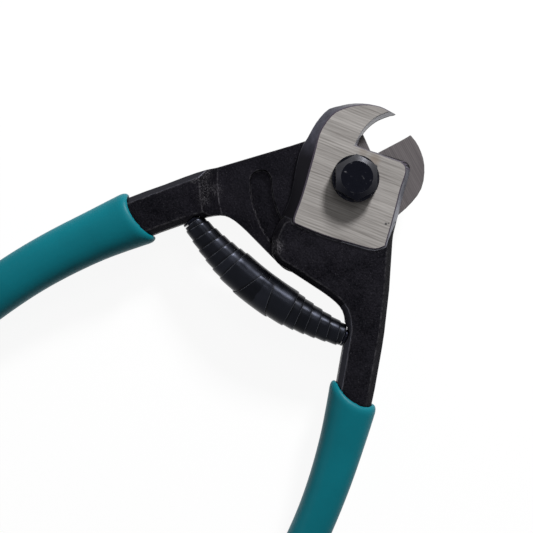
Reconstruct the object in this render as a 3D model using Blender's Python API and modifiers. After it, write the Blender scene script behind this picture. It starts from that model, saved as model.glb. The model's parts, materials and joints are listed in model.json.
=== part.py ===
"""Hand cable cutter, lying open on its back.

Two forged arms lap at a hexagon bolt. The front arm has a hooked blade and carries the right
handle, the rear arm has a vee jaw and carries the left handle. A double volute spring between
two pegs holds the handles open, and a pin in a curved groove stops them both ways.
The jaws point to +Y, the handles to -Y, and the bolt's lower end rests on z = 0.
"""

import math
from collections import namedtuple

import bmesh
import bpy
from mathutils import Matrix, Vector

MM = 0.001

# Facets round each kind of turned shape, and the angle over which an edge stays sharp
LAP_SIDES = 96
CONE_SIDES = 48
BOLT_SIDES = 40
PIN_SIDES = 24
PEG_SIDES = 20
SHARP_ANGLE = 35.0

# Fits
FIT_GAP = 0.3 * MM

# Heights from the lap plane, where the two arms meet
PLATE_HEIGHT = 4.2 * MM
PAD_HEIGHT = 5.0 * MM
PAD_FOOT_HEIGHT = 1.6 * MM
PLATE_CHAMFER = 1.7 * MM
HEAD_SINK = 1.0 * MM

# Handles: a straight neck, then an arc that bends in towards the other handle. A handle is
# measured both ways from the centreline: at the neck, and at the waist under the grip
NECK_X = 36.8 * MM
NECK_Y = -41.0 * MM
NECK_HEADING = -58.8
FRONT_NECK_OUTER = 5.7 * MM
FRONT_NECK_INNER = 5.7 * MM
FRONT_WAIST_OUTER = 5.1 * MM
FRONT_WAIST_INNER = 4.5 * MM
REAR_NECK_OUTER = 6.3 * MM
REAR_NECK_INNER = 6.6 * MM
REAR_WAIST_OUTER = 6.6 * MM
REAR_WAIST_INNER = 5.5 * MM
TAPER_START = 12 * MM
TAPER_END = 52 * MM
HANDLE_RADIUS = 200 * MM
HANDLE_LENGTH = 118.5 * MM
HANDLE_STATIONS = 18

# Lap: the neck keeps its full thickness outside this cone round the pivot
LAP_RADIUS = 41.0 * MM
LAP_SLOPE = 5.0 * MM

# Pivot bolt, washer and nut
BOLT_DIAMETER = 8.0 * MM
COLLAR_DIAMETER = 14.0 * MM
COLLAR_HEIGHT = 1.5 * MM
COLLAR_CHAMFER = 0.3 * MM
HEX_WIDTH = 12.0 * MM
HEX_HEIGHT = 4.4 * MM
HEX_TOP_DIAMETER = 9.4 * MM
HEX_CHAMFER_DROP = 1.5 * MM
HEX_TURN = 220.0
WASHER_DIAMETER = 16.0 * MM
WASHER_THICKNESS = 1.2 * MM
NUT_WIDTH = 13.0 * MM
NUT_HEIGHT = 4.0 * MM
NUT_CHAMFER = 0.8 * MM
BOLT_END = 1.0 * MM
BOLT_END_CHAMFER = 0.8 * MM

# Stop pin and its groove
STOP_RADIUS = 27.9 * MM
STOP_DIAMETER = 5.0 * MM
STOP_SINK = 2.6 * MM
GROOVE_WIDTH = 6.6 * MM
GROOVE_DEPTH = 2.0 * MM
GROOVE_STEPS = 16
GROOVE_END_STEPS = 8
STOP_ANGLE_CLOSED = 220.7
OPENING = 40.0

# Spring seats: pegs whose collars lie in a spot face sunk in the neck's side
FRONT_SEAT_STATION = -7.6 * MM
REAR_SEAT_STATION = -4.5 * MM
SEAT_HEADING = 195.5
SEAT_SHANK_DIAMETER = 4.0 * MM
SEAT_SHANK_LENGTH = 5.0 * MM
SEAT_SINK = 0.5 * MM
SEAT_FACE_DIAMETER = 7.7 * MM
SEAT_MOUTH = 2.0 * MM
SEAT_COLLAR_DIAMETER = 6.3 * MM
SEAT_COLLAR_THICKNESS = 0.6 * MM
SEAT_SPIGOT_DIAMETER = 3.8 * MM
SEAT_SPIGOT_LENGTH = 5.0 * MM
SEAT_TIP_CHAMFER = 0.8 * MM

# Double volute spring: a forked strip. Its two arms are joined at the outermost turn, and each
# winds inwards into a cone of its own. The outer edges lie this far from the spring's middle, by
# turns from the strip's outer end
SPRING_WIDE_RADIUS = 6.15 * MM
SPRING_SMALL_RADIUS = 3.2 * MM
SPRING_TURNS = 7.4
SPRING_CLOSED_TURNS = 0.8
SPRING_END_HEADING = 127.0
SPRING_EDGES = ((0.0, 2.3 * MM), (0.35, 5.8 * MM), (0.85, 10.4 * MM), (1.35, 11.2 * MM))
SPRING_ARM_WIDTH = 10.4 * MM
SPRING_STRIP_THICKNESS = 0.22 * MM
SPRING_SIDES = 24

# Grips: dipped sleeves over the handles. A dipped edge stands furthest back on the faces of the
# handle, and it climbs the inner side of the neck by its slant
FRONT_GRIP_START = 11.1 * MM
FRONT_GRIP_SLANT = 4.8 * MM
REAR_GRIP_START = 11.8 * MM
REAR_GRIP_SLANT = 2.8 * MM
GRIP_FACE_DIP = 1.5 * MM
GRIP_SIDE_WALL = 1.0 * MM
GRIP_FACE_WALL = 1.8 * MM
GRIP_END_WALL = 7.0 * MM
GRIP_FULLNESS = 0.85
GRIP_LIP_RISE = 0.3 * MM
GRIP_LIP_INSET = 1.2 * MM
GRIP_LIP_LENGTH = 2.8 * MM
GRIP_LIP_PROFILE = ((0.0, -GRIP_LIP_INSET), (0.12, 0.0), (0.4, GRIP_LIP_RISE), (1.0, GRIP_LIP_RISE / 2))
GRIP_DOME_TURNS = (25, 50, 70, 84)
GRIP_SIDES = 24
GRIP_STATIONS = 18

# The pivot stands over the stack of bolt end, nut, washer and rear arm
WASHER_TOP = PAD_HEIGHT + FIT_GAP
NUT_TOP = WASHER_TOP + WASHER_THICKNESS + FIT_GAP
LAP_Z = NUT_TOP + NUT_HEIGHT + BOLT_END

# Outlines in millimetres from the pivot, each arm seen with its handle at the right. Each
# list ends at a corner. The body runs clockwise from the head, down its outer side and back up
# its inner side.
FRONT_OUTER = [(15.2, 1.6), (20.5, -6.7), (29.1, -18.3), (36.4, -29.2)]
REAR_OUTER = [(16.0, 4.0), (20.9, -4.0), (29.7, -17.6), (37.1, -28.7)]
FRONT_INNER = [(25.0, -33.8), (21.2, -31.7), (14.6, -31.7), (2.7, -33.2), (-1.4, -33.8), (-4.4, -32.8)]
REAR_INNER = [(24.8, -35.0), (21.2, -32.7), (14.6, -32.5), (2.7, -33.6), (-1.4, -33.8), (-4.4, -32.8)]
BODY_LIP = [(-7.4, -29.1), (-9.0, -23.6), (-8.4, -20.0), (-11.5, -10.5)]
BODY_CREST = [(-11.0, -1.0), (10.0, 4.0)]

# Hook head: each point of the foot at the lap plane has its point of the ground pad
HOOK_BACK = [
    ((-3.1, 22.9), (-5.0, 21.8)),
    ((-8.1, 21.6), (-8.3, 21.0)),
    ((-12.9, 18.9), (-12.3, 18.4)),
    ((-16.5, 14.4), (-15.2, 14.5)),
    ((-18.3, 9.6), (-16.8, 9.6)),
    ((-18.9, 3.2), (-16.5, 3.2)),
    ((-17.6, -4.8), (-13.6, -3.2)),
    ((-11.6, -15.5), (-8.9, -13.6)),
    ((-9.3, -22.2), (-6.3, -20.5)),
]
HOOK_FOOT = [
    ((-8.0, -23.6), (-5.0, -21.6)),
    ((3.7, -20.1), (3.3, -18.9)),
    ((13.1, -16.0), (12.7, -14.8)),
    ((18.6, -13.2), (17.8, -12.2)),
]
HOOK_SIDE = [
    ((21.2, -9.6), (19.6, -9.4)),
    ((17.7, -1.4), (16.0, -1.4)),
    ((14.0, 6.2), (12.3, 6.1)),
    ((11.9, 11.0), (10.4, 10.8)),
    ((10.2, 13.7), (8.8, 12.5)),
]
HOOK_MOUTH = [((8.2, 14.1), (6.9, 12.6)), ((1.2, 11.1), (0.5, 10.1))]
HOOK_EDGE = [
    ((-5.4, 8.1), (-6.6, 7.5)),
    ((-6.5, 11.2), (-7.5, 11.4)),
    ((-6.6, 14.8), (-7.6, 14.8)),
    ((-5.6, 18.5), (-6.9, 18.3)),
]

# Vee jaw of the rear arm, seen from the front in its own place
JAW_BACK = [
    ((-10.4, 14.3), (-11.3, 13.2)),
    ((-13.6, 8.6), (-12.0, 8.4)),
    ((-18.2, 0.0), (-16.4, -0.2)),
    ((-20.9, -6.1), (-19.4, -6.6)),
    ((-21.6, -9.4), (-19.8, -9.8)),
]
JAW_FOOT = [
    ((-18.6, -13.2), (-17.8, -12.2)),
    ((-13.1, -16.0), (-12.7, -14.8)),
    ((-3.7, -20.1), (-3.3, -18.9)),
    ((8.0, -23.6), (5.0, -21.6)),
]
JAW_SIDE = [
    ((9.3, -22.2), (6.3, -20.5)),
    ((11.6, -15.5), (8.9, -13.6)),
    ((15.4, -5.2), (12.6, -4.4)),
    ((17.4, 3.6), (14.9, 3.4)),
    ((17.1, 11.2), (14.6, 10.6)),
    ((13.2, 17.2), (11.6, 15.9)),
    ((8.2, 20.4), (7.4, 19.4)),
]
JAW_RIGHT_EDGE = [((4.2, 21.4), (5.2, 20.4))]
JAW_LEFT_EDGE = [((-0.2, 8.7), (0.5, 7.3))]

COLLECTION = "cable_cutter"

# What differs between the arms: the side that the blade faces, the core's half widths at neck
# and waist, the body's outline, the place of the spring seat, and the grip's mouth
Arm = namedtuple("Arm", "name facing outer inner body_outer body_inner seat_station grip_start grip_slant")
FRONT = Arm(
    "front",
    1,
    (FRONT_NECK_OUTER, FRONT_WAIST_OUTER),
    (FRONT_NECK_INNER, FRONT_WAIST_INNER),
    FRONT_OUTER,
    FRONT_INNER,
    FRONT_SEAT_STATION,
    FRONT_GRIP_START,
    FRONT_GRIP_SLANT,
)
REAR = Arm(
    "rear",
    -1,
    (REAR_NECK_OUTER, REAR_WAIST_OUTER),
    (REAR_NECK_INNER, REAR_WAIST_INNER),
    REAR_OUTER,
    REAR_INNER,
    REAR_SEAT_STATION,
    REAR_GRIP_START,
    REAR_GRIP_SLANT,
)


# Scene and materials

def clear_scene():
    for old in list(bpy.data.objects):
        bpy.data.objects.remove(old)


def new_collection(name):
    collection = bpy.data.collections.new(name)
    bpy.context.scene.collection.children.link(collection)
    return collection


def material(name, colour, roughness, metallic):
    made = bpy.data.materials.new(name)
    made.use_nodes = True
    shader = made.node_tree.nodes["Principled BSDF"]
    shader.inputs["Base Color"].default_value = (*colour, 1.0)
    shader.inputs["Roughness"].default_value = roughness
    shader.inputs["Metallic"].default_value = metallic
    made.diffuse_color = (*colour, 1.0)
    return made


def add_object(name, mesh, collection):
    made = bpy.data.objects.new(name, mesh)
    collection.objects.link(made)
    return made


def add_cutter(name, mesh, cutters):
    made = add_object(name, mesh, cutters)
    made.hide_render = True
    made.display_type = "WIRE"
    return made


def mesh_from(bm, name):
    bmesh.ops.recalc_face_normals(bm, faces=bm.faces)
    mesh = bpy.data.meshes.new(name)
    bm.to_mesh(mesh)
    bm.free()
    return mesh


def join_or_cut(target, other, operation, solver="EXACT"):
    step = target.modifiers.new(other.name, "BOOLEAN")
    step.object = other
    step.operation = operation
    step.solver = solver


def smooth_round(thing):
    thing.data.shade_smooth()
    thing.data.set_sharp_from_angle(angle=math.radians(SHARP_ANGLE))


# Outlines

def spline_points(points, steps):
    """Catmull-Rom points from the first to the last point of an open list."""
    padded = [points[0]] + list(points) + [points[-1]]
    found = []
    for index in range(1, len(padded) - 2):
        before, start, end, after = padded[index - 1 : index + 3]
        for step in range(steps):
            t = step / steps
            found.append(
                0.5
                * (
                    2 * start
                    + (end - before) * t
                    + (2 * before - 5 * start + 4 * end - after) * t * t
                    + (3 * start - before - 3 * end + after) * t ** 3
                )
            )
    found.append(points[-1])
    return found


def in_metres(points):
    return [Vector((x, y)) * MM for x, y in points]


def ring_pairs(runs, steps):
    """Foot ring and pad ring through runs of point pairs that meet at corners."""
    feet = []
    pads = []
    for index, run in enumerate(runs):
        following = runs[(index + 1) % len(runs)][0]
        ends = list(run) if run[-1] == following else list(run) + [following]
        feet += spline_points(in_metres([pair[0] for pair in ends]), steps)[:-1]
        pads += spline_points(in_metres([pair[1] for pair in ends]), steps)[:-1]
    return feet, pads


# Handle centreline

def handle_point(station):
    """Centre and heading of the handle at a length from the neck's start, for the front arm."""
    heading = math.radians(NECK_HEADING)
    start = Vector((NECK_X, NECK_Y))
    if station <= 0:
        return start + station * Vector((math.cos(heading), math.sin(heading))), heading
    turn = station / HANDLE_RADIUS
    centre = start + HANDLE_RADIUS * Vector((math.sin(heading), -math.cos(heading)))
    now = heading - turn
    return centre + HANDLE_RADIUS * Vector((-math.sin(now), math.cos(now))), now


def beside_handle(station, across):
    """A point beside the centreline: across is positive towards the outside of the tool."""
    centre, heading = handle_point(station)
    return centre + across * Vector((-math.sin(heading), math.cos(heading)))


def core_length():
    return HANDLE_LENGTH - GRIP_END_WALL - FIT_GAP


def half_width(widths, station):
    """From the centreline to the core's side: it narrows smoothly from the neck to the waist."""
    neck, waist = widths
    share = min(max((station - TAPER_START) / (TAPER_END - TAPER_START), 0.0), 1.0)
    return neck + (waist - neck) * share * share * (3 - 2 * share)


def outer_side(arm, station, clear=0.0):
    return beside_handle(station, half_width(arm.outer, station) + clear)


def inner_side(arm, station, clear=0.0):
    return beside_handle(station, -half_width(arm.inner, station) - clear)


def stations_between(start, end):
    return [start + (end - start) * index / HANDLE_STATIONS for index in range(HANDLE_STATIONS + 1)]


def body_outline(arm):
    """An arm's plate with its handle core, as one closed outline."""
    stations = stations_between(0.0, core_length())
    outer = in_metres(arm.body_outer) + [outer_side(arm, 0)]
    inner = [inner_side(arm, 0), inner_side(arm, arm.seat_station)] + in_metres(arm.body_inner)
    lip = [inner[-1]] + in_metres(BODY_LIP)
    outline = spline_points(outer, 3)[:-1]
    outline += [outer_side(arm, station) for station in stations]
    outline += [inner_side(arm, station) for station in reversed(stations[1:])]
    outline += spline_points(inner, 3)[:-1]
    outline += spline_points(lip, 3)[:-1]
    outline += in_metres(BODY_CREST)
    return outline


# Solids

def chamfered_slab(name, outline, half_height, chamfer):
    """A flat outline extruded both ways from the lap plane, with chamfered rims."""
    curve = bpy.data.curves.new(name, "CURVE")
    curve.dimensions = "2D"
    curve.fill_mode = "BOTH"
    curve.extrude = half_height - chamfer
    curve.bevel_depth = chamfer
    curve.bevel_resolution = 0
    curve.offset = -chamfer
    spline = curve.splines.new("POLY")
    spline.points.add(len(outline) - 1)
    for point, place in zip(spline.points, outline):
        point.co = (place.x, place.y, 0.0, 1.0)
    spline.use_cyclic_u = True
    guide = bpy.data.objects.new(name, curve)
    bpy.context.scene.collection.objects.link(guide)
    bpy.context.view_layer.update()
    evaluated = guide.evaluated_get(bpy.context.evaluated_depsgraph_get())
    mesh = bpy.data.meshes.new_from_object(evaluated)
    bm = bmesh.new()
    bm.from_mesh(mesh)
    bmesh.ops.remove_doubles(bm, verts=bm.verts, dist=1e-6)
    bpy.data.objects.remove(guide)
    return mesh_from(bm, name)


def lofted_rings(name, rings):
    """A closed solid through rings of equal length, capped at both ends."""
    bm = bmesh.new()
    loops = [[bm.verts.new(place) for place in ring] for ring in rings]
    count = len(loops[0])
    for low, high in zip(loops, loops[1:]):
        for index in range(count):
            following = (index + 1) % count
            bm.faces.new((low[index], low[following], high[following], high[index]))
    bm.faces.new(list(reversed(loops[0])))
    bm.faces.new(loops[-1])
    bm.normal_update()
    bmesh.ops.triangulate(bm, faces=[face for face in bm.faces if len(face.verts) > 4])
    return mesh_from(bm, name)


def turned(name, profile, sides):
    """A profile of (radius, height) from top to bottom, turned round Z with a Screw."""
    mesh = bpy.data.meshes.new(name)
    places = [(radius, 0.0, height) for radius, height in profile]
    mesh.from_pydata(places, [(i, i + 1) for i in range(len(places) - 1)], [])
    made = bpy.data.objects.new(name, mesh)
    screw = made.modifiers.new("turn", "SCREW")
    screw.steps = sides
    screw.render_steps = sides
    screw.use_merge_vertices = True
    screw.merge_threshold = 1e-6
    screw.use_smooth_shade = False
    bpy.context.scene.collection.objects.link(made)
    bpy.context.view_layer.update()
    evaluated = made.evaluated_get(bpy.context.evaluated_depsgraph_get())
    solid = bpy.data.meshes.new_from_object(evaluated)
    bpy.data.objects.remove(made)
    solid.name = name
    return solid


def prism(name, sides, across_flats, low, high, turn):
    """A regular prism with its flats this far apart."""
    bm = bmesh.new()
    radius = across_flats / 2 / math.cos(math.pi / sides)
    bmesh.ops.create_cone(
        bm, cap_ends=True, segments=sides, radius1=radius, radius2=radius, depth=high - low
    )
    bmesh.ops.rotate(bm, verts=bm.verts, matrix=Matrix.Rotation(math.radians(turn), 3, "Z"))
    bmesh.ops.translate(bm, verts=bm.verts, vec=(0, 0, (high + low) / 2))
    return mesh_from(bm, name)


def at_lap(mesh):
    mesh.transform(Matrix.Translation((0, 0, LAP_Z)))
    return mesh


def turned_over(mesh):
    """The rear arm's copy of a front shape, turned half round the tool's long axis."""
    mesh.transform(Matrix.Diagonal((-1, 1, -1, 1)))
    return mesh


# Arms

def head_mesh(name, plain_runs, blade_runs, facing):
    """Blade head from under the lap plane up to the ground pad, on the side that it faces."""
    feet, pads = ring_pairs(plain_runs + blade_runs, 3)
    plain_count = len(feet) - 3 * sum(len(run) for run in blade_runs)
    slope = PAD_FOOT_HEIGHT / PAD_HEIGHT
    middle = []
    for index, (foot, pad) in enumerate(zip(feet, pads)):
        middle.append(foot.lerp(pad, slope) if index > plain_count else foot)
    rings = [
        [Vector((*place, -facing * HEAD_SINK)) for place in feet],
        [Vector((*place, facing * PAD_FOOT_HEIGHT)) for place in middle],
        [Vector((*place, facing * PAD_HEIGHT)) for place in pads],
    ]
    return lofted_rings(name, rings)


def lap_cutter_mesh(name):
    """What the other arm's head needs: a disc under the lap plane with a sloping rim."""
    low = -PLATE_HEIGHT - PAD_HEIGHT
    slope_rise = LAP_SLOPE / PLATE_HEIGHT
    profile = [
        (0.0, FIT_GAP / 2),
        (LAP_RADIUS, FIT_GAP / 2),
        (LAP_RADIUS - low * slope_rise, low),
        (0.0, low),
    ]
    return turned(name, profile, LAP_SIDES)


def bore_cutter_mesh(name, diameter, low, high):
    radius = diameter / 2
    return turned(name, [(0.0, high), (radius, high), (radius, low), (0.0, low)], BOLT_SIDES)


def seat_matrix(arm):
    """Where a seat's peg leaves the neck, with the peg along +Z of the matrix."""
    foot = inner_side(arm, arm.seat_station)
    heading = Matrix.Rotation(math.radians(SEAT_HEADING), 4, "Z")
    return Matrix.Translation((foot.x, foot.y, 0)) @ heading @ Matrix.Rotation(math.pi / 2, 4, "Y")


def seat_hole_mesh(arm, name):
    """The shank's hole, with a spot face that the collar and the spring's end stand on."""
    radius = SEAT_SHANK_DIAMETER / 2 + FIT_GAP
    rim = SEAT_FACE_DIAMETER / 2
    face = -SEAT_SINK - FIT_GAP
    profile = [
        (0.0, SEAT_MOUTH),
        (rim, SEAT_MOUTH),
        (rim, face),
        (radius, face),
        (radius, -SEAT_SHANK_LENGTH - FIT_GAP),
        (0.0, -SEAT_SHANK_LENGTH - FIT_GAP),
    ]
    mesh = turned(name, profile, PEG_SIDES)
    mesh.transform(seat_matrix(arm))
    return mesh


def stop_place(angle):
    turn = math.radians(angle)
    return Vector((STOP_RADIUS * math.cos(turn), STOP_RADIUS * math.sin(turn), 0))


def groove_mesh(name):
    """A curved slot round the pivot with round ends, sunk in the rear arm's lap face."""
    half = GROOVE_WIDTH / 2
    start = math.radians(STOP_ANGLE_CLOSED)
    end = math.radians(STOP_ANGLE_CLOSED + OPENING)
    outline = []
    for radius, ends in ((STOP_RADIUS + half, (start, end)), (STOP_RADIUS - half, (end, start))):
        for index in range(GROOVE_STEPS + 1):
            turn = ends[0] + (ends[1] - ends[0]) * index / GROOVE_STEPS
            outline.append(Vector((radius * math.cos(turn), radius * math.sin(turn))))
        centre = Vector((STOP_RADIUS * math.cos(ends[1]), STOP_RADIUS * math.sin(ends[1])))
        first = outline[-1] - centre
        for index in range(1, GROOVE_END_STEPS):
            turned_by = Matrix.Rotation(math.pi * index / GROOVE_END_STEPS, 2)
            outline.append(centre + turned_by @ first)
    rings = [[Vector((*place, height)) for place in outline] for height in (-GROOVE_DEPTH, GROOVE_DEPTH)]
    return lofted_rings(name, rings)


def forged_arm(arm, plain_runs, blade_runs, collection, cutters, finish):
    """One forged arm: slab and handle core, blade head, lap recess, bore and seat hole."""
    name = arm.name + "_arm"
    slab = chamfered_slab(name, body_outline(arm), PLATE_HEIGHT, PLATE_CHAMFER)
    lap = lap_cutter_mesh(name + "_lap_cut")
    hole = seat_hole_mesh(arm, name + "_seat_hole")
    if arm.facing < 0:
        for mesh in (slab, lap, hole):
            turned_over(mesh)
    made = add_object(name, at_lap(slab), collection)
    made.data.materials.append(finish)
    head = head_mesh(name + "_head", plain_runs, blade_runs, arm.facing)
    reach = PAD_HEIGHT + HEAD_SINK
    bore = bore_cutter_mesh(name + "_bore", BOLT_DIAMETER + 2 * FIT_GAP, -reach, reach)
    steps = (
        (add_cutter(name + "_head", at_lap(head), cutters), "UNION"),
        (add_cutter(name + "_lap_cut", at_lap(lap), cutters), "DIFFERENCE"),
        (add_cutter(name + "_seat_hole", at_lap(hole), cutters), "DIFFERENCE"),
        (add_cutter(name + "_bore", at_lap(bore), cutters), "DIFFERENCE"),
    )
    for other, operation in steps:
        # The exact solver leaves open edges where the bore crosses the bolt-side pad
        join_or_cut(made, other, operation, "MANIFOLD")
    return made


def front_arm(collection, cutters, finish):
    plain = [HOOK_BACK, HOOK_FOOT, HOOK_SIDE, HOOK_MOUTH]
    made = forged_arm(FRONT, plain, [HOOK_EDGE], collection, cutters, finish)
    radius = STOP_DIAMETER / 2 + FIT_GAP
    depth = STOP_SINK + FIT_GAP
    profile = [(0.0, depth), (radius, depth), (radius, -depth), (0.0, -depth)]
    hole = turned("stop_pin_hole", profile, PIN_SIDES)
    hole.transform(Matrix.Translation(stop_place(STOP_ANGLE_CLOSED + OPENING)))
    join_or_cut(made, add_cutter("stop_pin_hole", at_lap(hole), cutters), "DIFFERENCE", "MANIFOLD")
    return made


def rear_arm(collection, cutters, finish):
    plain = [JAW_BACK, JAW_FOOT, JAW_SIDE]
    blades = [JAW_RIGHT_EDGE, JAW_LEFT_EDGE]
    made = forged_arm(REAR, plain, blades, collection, cutters, finish)
    groove = add_cutter("stop_groove", at_lap(groove_mesh("stop_groove")), cutters)
    join_or_cut(made, groove, "DIFFERENCE", "MANIFOLD")
    return made


# Pivot

def pivot_bolt(collection, finish):
    """Bolt with a round collar under a chamfered hexagon head."""
    collar_low = PAD_HEIGHT + FIT_GAP
    collar_high = collar_low + COLLAR_HEIGHT
    head_high = collar_high + HEX_HEIGHT
    shank = BOLT_DIAMETER / 2
    profile = [
        (0.0, collar_high + HEX_HEIGHT / 2),
        (HEX_TOP_DIAMETER / 2, collar_high + HEX_HEIGHT / 2),
        (HEX_TOP_DIAMETER / 2, collar_high),
        (COLLAR_DIAMETER / 2 - COLLAR_CHAMFER, collar_high),
        (COLLAR_DIAMETER / 2, collar_high - COLLAR_CHAMFER),
        (COLLAR_DIAMETER / 2, collar_low),
        (shank, collar_low),
        (shank, BOLT_END_CHAMFER - LAP_Z),
        (shank - BOLT_END_CHAMFER, -LAP_Z),
        (0.0, -LAP_Z),
    ]
    made = add_object("pivot_bolt", at_lap(turned("pivot_bolt", profile, BOLT_SIDES)), collection)
    made.data.materials.append(finish)
    return made, collar_high, head_high


def hex_head(name, low, high, cutters):
    """A hexagon prism whose top corners are turned away in a cone."""
    hexagon = add_cutter(name, at_lap(prism(name, 6, HEX_WIDTH, low, high, HEX_TURN)), cutters)
    corner = HEX_WIDTH / 2 / math.cos(math.pi / 6)
    flare = (corner - HEX_TOP_DIAMETER / 2) / HEX_CHAMFER_DROP
    reach = HEX_TOP_DIAMETER / 2 + flare * (high - low + FIT_GAP)
    profile = [(0.0, high), (HEX_TOP_DIAMETER / 2, high), (reach, low - FIT_GAP), (0.0, low - FIT_GAP)]
    cone = add_cutter(name + "_cone", at_lap(turned(name + "_cone", profile, CONE_SIDES)), cutters)
    join_or_cut(hexagon, cone, "INTERSECT")
    return hexagon


def washer(collection, finish):
    low = -WASHER_TOP - WASHER_THICKNESS
    bore = BOLT_DIAMETER / 2 + FIT_GAP
    rim = WASHER_DIAMETER / 2
    profile = [(bore, -WASHER_TOP), (rim, -WASHER_TOP), (rim, low), (bore, low), (bore, -WASHER_TOP)]
    made = add_object("pivot_washer", at_lap(turned("pivot_washer", profile, BOLT_SIDES)), collection)
    made.data.materials.append(finish)


def nut(collection, cutters, finish):
    low = -NUT_TOP - NUT_HEIGHT
    made = add_object("pivot_nut", at_lap(prism("pivot_nut", 6, NUT_WIDTH, low, -NUT_TOP, 0.0)), collection)
    made.data.materials.append(finish)
    corner = NUT_WIDTH / 2 / math.cos(math.pi / 6)
    flat = NUT_WIDTH / 2
    over = corner + FIT_GAP
    profile = [
        (0.0, FIT_GAP - NUT_TOP),
        (over, FIT_GAP - NUT_TOP),
        (over, low + NUT_CHAMFER),
        (flat - FIT_GAP, low),
        (0.0, low),
    ]
    cone = add_cutter("nut_cone", at_lap(turned("nut_cone", profile, CONE_SIDES)), cutters)
    join_or_cut(made, cone, "INTERSECT")
    bore = bore_cutter_mesh("nut_bore", BOLT_DIAMETER + 2 * FIT_GAP, low - FIT_GAP, FIT_GAP - NUT_TOP)
    join_or_cut(made, add_cutter("nut_bore", at_lap(bore), cutters), "DIFFERENCE")


# Stop pin and spring

def stop_pin(collection, finish):
    high = STOP_SINK
    low = FIT_GAP / 2 - GROOVE_DEPTH + FIT_GAP
    radius = STOP_DIAMETER / 2
    profile = [(0.0, high), (radius, high), (radius, low), (0.0, low)]
    mesh = turned("stop_pin", profile, PIN_SIDES)
    mesh.transform(Matrix.Translation(stop_place(STOP_ANGLE_CLOSED + OPENING)))
    made = add_object("stop_pin", at_lap(mesh), collection)
    made.data.materials.append(finish)


def seat_profile():
    """Peg from its rounded tip back to the shank in the neck."""
    collar_low = -SEAT_SINK
    collar_high = collar_low + SEAT_COLLAR_THICKNESS
    tip = collar_high + SEAT_SPIGOT_LENGTH
    spigot = SEAT_SPIGOT_DIAMETER / 2
    return [
        (0.0, tip),
        (spigot - SEAT_TIP_CHAMFER, tip),
        (spigot, tip - SEAT_TIP_CHAMFER),
        (spigot, collar_high),
        (SEAT_COLLAR_DIAMETER / 2, collar_high),
        (SEAT_COLLAR_DIAMETER / 2, collar_low),
        (SEAT_SHANK_DIAMETER / 2, collar_low),
        (SEAT_SHANK_DIAMETER / 2, -SEAT_SHANK_LENGTH),
        (0.0, -SEAT_SHANK_LENGTH),
    ]


def spring_seat(arm, collection, finish):
    name = arm.name + "_spring_seat"
    mesh = turned(name, seat_profile(), PEG_SIDES)
    mesh.transform(seat_matrix(arm))
    if arm.facing < 0:
        turned_over(mesh)
    made = add_object(name, at_lap(mesh), collection)
    made.data.materials.append(finish)
    return made


def spring_end(arm):
    """Where the spring's axis meets a seat's collar."""
    reach = SEAT_COLLAR_THICKNESS - SEAT_SINK + FIT_GAP
    end = seat_matrix(arm) @ Vector((0, 0, reach))
    return Vector((arm.facing * end.x, end.y, 0))


def spring_arc():
    """The bowed axis: its radius, half angle and centre, and the chord's direction."""
    rear = spring_end(REAR)
    front = spring_end(FRONT)
    half_angle = math.radians(SEAT_HEADING) - math.pi
    chord = (front - rear).normalized()
    radius = (front - rear).length / 2 / math.sin(half_angle)
    upwards = Vector((-chord.y, chord.x, 0))
    centre = (front + rear) / 2 + radius * math.cos(half_angle) * upwards
    return radius, half_angle, centre, chord


def value_at(turns, steps):
    """A value that changes evenly between the steps of a list of (turns, value)."""
    for (start, low), (end, high) in zip(steps, steps[1:]):
        if turns <= end:
            return low + (high - low) * (turns - start) / (end - start)
    return steps[-1][1]


def strip_edges(turns, half_length):
    """How far an arm's outer and inner edges lie from the spring's middle. Its last turns lie
    flat on the seat."""
    open_turns = SPRING_TURNS - SPRING_CLOSED_TURNS
    outer = value_at(turns, SPRING_EDGES + ((open_turns, half_length),))
    return outer, max(outer - SPRING_ARM_WIDTH, 0.0)


def on_spring(turns, along):
    """A point of the rolled strip, on the spring's bowed axis."""
    arc_radius, half_angle, centre, chord = spring_arc()
    upwards = Vector((-chord.y, chord.x, 0))
    slope = (SPRING_WIDE_RADIUS - SPRING_SMALL_RADIUS) / SPRING_TURNS
    spoke = SPRING_WIDE_RADIUS - slope * turns
    around = math.radians(SPRING_END_HEADING) - 2 * math.pi * turns
    reach = arc_radius + spoke * math.cos(around)
    place = along / arc_radius
    sideways = math.sin(place) * chord - math.cos(place) * upwards
    return centre + reach * sideways + Vector((0, 0, spoke * math.sin(around)))


def volute_spring(collection, finish):
    """Each arm starts as a flat grid that is rolled up. The arms share their middle line as far
    as they are joined, and the strip's thickness comes last."""
    arc_radius, half_angle, centre, chord = spring_arc()
    half_length = arc_radius * half_angle
    bm = bmesh.new()
    for side in (-1, 1):
        count = int(SPRING_TURNS * SPRING_SIDES)
        blank = bmesh.ops.create_grid(bm, x_segments=count, y_segments=1, size=0.5)
        for vert in blank["verts"]:
            turns = SPRING_TURNS * (vert.co.x + 0.5)
            outer, inner = strip_edges(turns, half_length)
            vert.co = on_spring(turns, side * (outer if vert.co.y > 0 else inner))
    bmesh.ops.remove_doubles(bm, verts=bm.verts, dist=1e-6)
    made = add_object("volute_spring", at_lap(mesh_from(bm, "volute_spring")), collection)
    made.data.materials.append(finish)
    wall = made.modifiers.new("strip", "SOLIDIFY")
    wall.thickness = SPRING_STRIP_THICKNESS
    wall.offset = 0.0


# Grips

def section_points(width, thickness):
    """Rounded section, a little fuller than an ellipse, as (across, height) points."""
    found = []
    for index in range(GRIP_SIDES):
        turn = 2 * math.pi * index / GRIP_SIDES
        across = math.copysign(abs(math.cos(turn)) ** GRIP_FULLNESS, math.cos(turn))
        height = math.copysign(abs(math.sin(turn)) ** GRIP_FULLNESS, math.sin(turn))
        found.append((across * width / 2, height * thickness / 2))
    return found


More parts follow.
